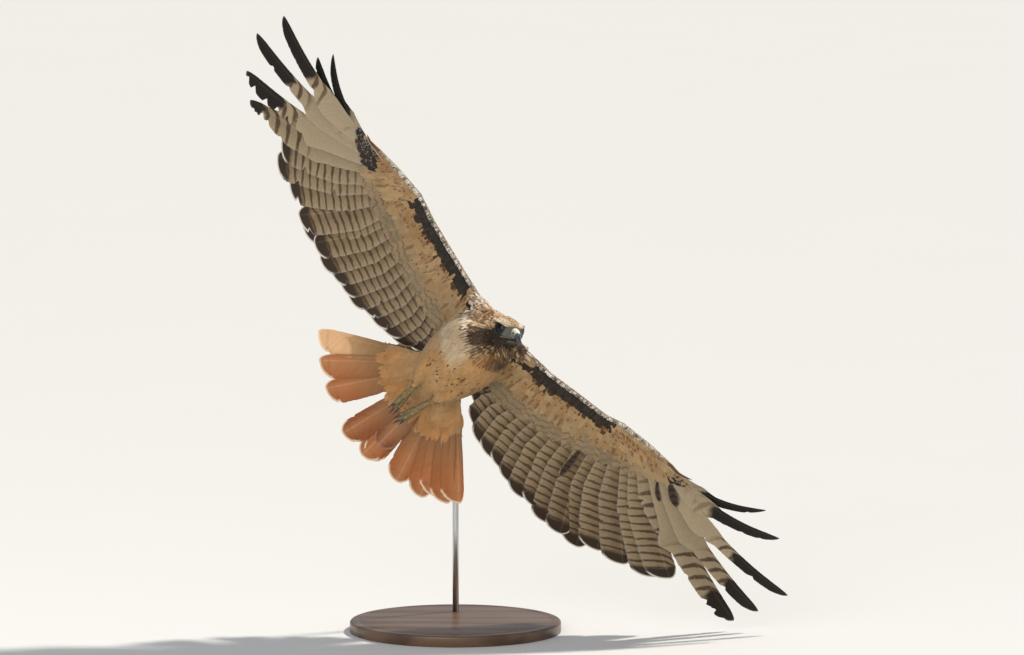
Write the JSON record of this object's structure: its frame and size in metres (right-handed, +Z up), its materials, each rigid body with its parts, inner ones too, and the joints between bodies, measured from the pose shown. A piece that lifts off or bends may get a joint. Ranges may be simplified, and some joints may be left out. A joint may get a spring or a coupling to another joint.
{
  "type": "red-tailed hawk model",
  "caption": "Still life-size red-tailed hawk banking in flight with wings and tail spread, held by one bent rod on a flat round display base.",
  "frame": {"origin": "middle of the underside of the stand's base, on the floor", "axes": "+Z up; +X to the right and -Y towards the viewer of the picture, who sees the bird's underside; the head points up to +X and the tail down to -X"},
  "size_m": [0.8718, 0.3829, 0.99],
  "materials": {
    "plumage_body": "soft overlapping body feathers, buff with dark brown streaks",
    "plumage_head": "short streaked feathers, rufous brown",
    "plumage_wing": "flight feathers and coverts, grey buff with dark bars and tips",
    "plumage_tail": "tail feathers, rufous with pale tips and shafts",
    "cere": "smooth waxy skin, pale yellow",
    "bill": "polished horn, dark slate",
    "eye": "wet and glossy, dark brown iris and black pupil",
    "foot_skin": "scaled skin, ochre yellow",
    "claw": "polished horn, near black",
    "base_wood": "dark stained wood with a satin varnish",
    "rod_steel": "brushed steel"
  },
  "bodies": {
    "root": {"torso": "plumage_body", "neck": "plumage_head", "head": "plumage_head", "eye_left": "eye", "eye_right": "eye", "cere": "cere", "upper_bill": "bill", "lower_bill": "bill", "wing_left": "plumage_wing", "wing_right": "plumage_wing", "tail": "plumage_tail", "leg_left": "plumage_body", "leg_right": "plumage_body", "foot_left": "foot_skin", "foot_right": "foot_skin", "claw_left_inner": "claw", "claw_left_middle": "claw", "claw_left_outer": "claw", "claw_left_hind": "claw", "claw_right_inner": "claw", "claw_right_middle": "claw", "claw_right_outer": "claw", "claw_right_hind": "claw", "stand_base": "base_wood", "stand_rod": "rod_steel"}
  },
  "joints": []
}
